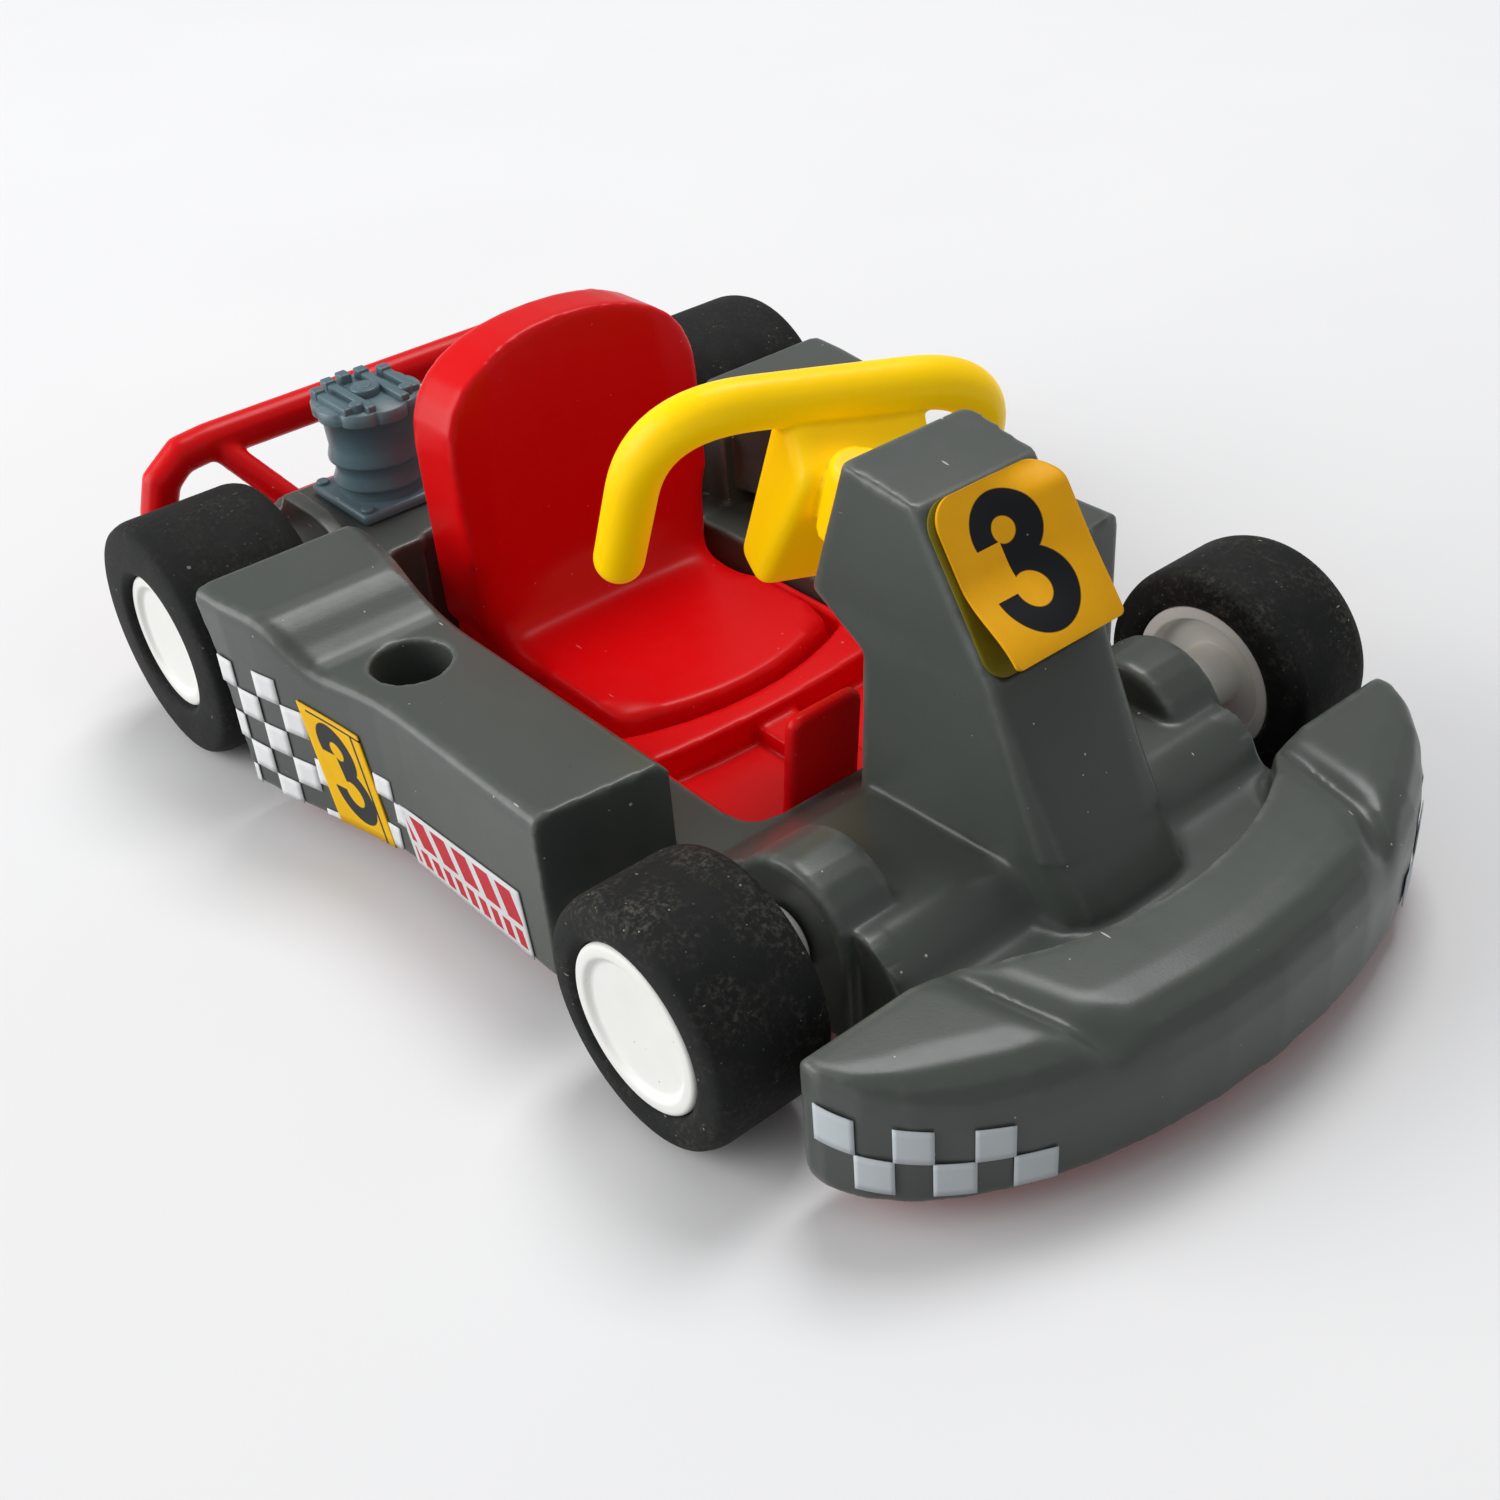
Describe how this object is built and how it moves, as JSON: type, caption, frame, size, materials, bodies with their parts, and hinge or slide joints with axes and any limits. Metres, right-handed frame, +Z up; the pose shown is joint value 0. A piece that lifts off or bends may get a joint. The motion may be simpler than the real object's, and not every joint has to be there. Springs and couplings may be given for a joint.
{
  "type": "toy go-kart",
  "caption": "Moulded plastic toy go-kart with a bucket seat, a turning steering yoke, rolling wheelsets on steel axles, a small engine and a rear bumper loop.",
  "frame": {"origin": "on the ground under the middle of the bounding box", "axes": "+X forward to the front bumper, +Y to the driver's left, +Z up"},
  "size_m": [0.1244, 0.0802, 0.0448],
  "materials": {
    "body_shell": "satin moulded dark grey plastic",
    "base_pan": "glossy moulded red plastic",
    "seat": "glossy moulded red plastic",
    "rear_bumper": "glossy moulded red plastic",
    "engine": "semi-gloss blue-grey plastic",
    "steering_yoke": "glossy moulded yellow plastic",
    "steering_pin": "plain steel pin",
    "number_plate": "printed yellow plastic film",
    "front_axle": "plain steel rod",
    "front_rim_left": "white plastic",
    "front_tyre_left": "dusty black rubber",
    "front_rim_right": "white plastic",
    "front_tyre_right": "dusty black rubber",
    "rear_axle": "plain steel rod",
    "rear_rim_left": "white plastic",
    "rear_tyre_left": "dusty black rubber",
    "rear_rim_right": "white plastic",
    "rear_tyre_right": "dusty black rubber",
    "side_sticker_left": "printed plastic film",
    "bumper_sticker_left": "printed plastic film",
    "side_sticker_right": "printed plastic film",
    "bumper_sticker_right": "printed plastic film"
  },
  "bodies": {
    "chassis": {"body_shell": "body_shell", "base_pan": "base_pan", "seat": "seat", "rear_bumper": "rear_bumper", "engine": "engine", "steering_pin": "steering_pin", "number_plate": "number_plate", "side_sticker_left": "side_sticker_left", "side_sticker_right": "side_sticker_right", "bumper_sticker_left": "bumper_sticker_left", "bumper_sticker_right": "bumper_sticker_right"},
    "front_wheelset": {"front_axle": "front_axle", "front_rim_left": "front_rim_left", "front_tyre_left": "front_tyre_left", "front_rim_right": "front_rim_right", "front_tyre_right": "front_tyre_right"},
    "rear_wheelset": {"rear_axle": "rear_axle", "rear_rim_left": "rear_rim_left", "rear_tyre_left": "rear_tyre_left", "rear_rim_right": "rear_rim_right", "rear_tyre_right": "rear_tyre_right"},
    "steering": {"steering_yoke": "steering_yoke"}
  },
  "joints": [
    {"name": "front_wheels_roll", "type": "hinge", "parent": "chassis", "child": "front_wheelset", "pos_m": [0.03198, 0, 0.0108], "axis": [0, 1, 0], "continuous": true},
    {"name": "rear_wheels_roll", "type": "hinge", "parent": "chassis", "child": "rear_wheelset", "pos_m": [-0.04412, 0, 0.0125], "axis": [0, 1, 0], "continuous": true},
    {"name": "steering_turn", "type": "hinge", "parent": "chassis", "child": "steering", "pos_m": [0.01783, 0, 0.0392], "axis": [0.3057, 0, 0.9521], "range_deg": [-15.4, 54.6]}
  ]
}
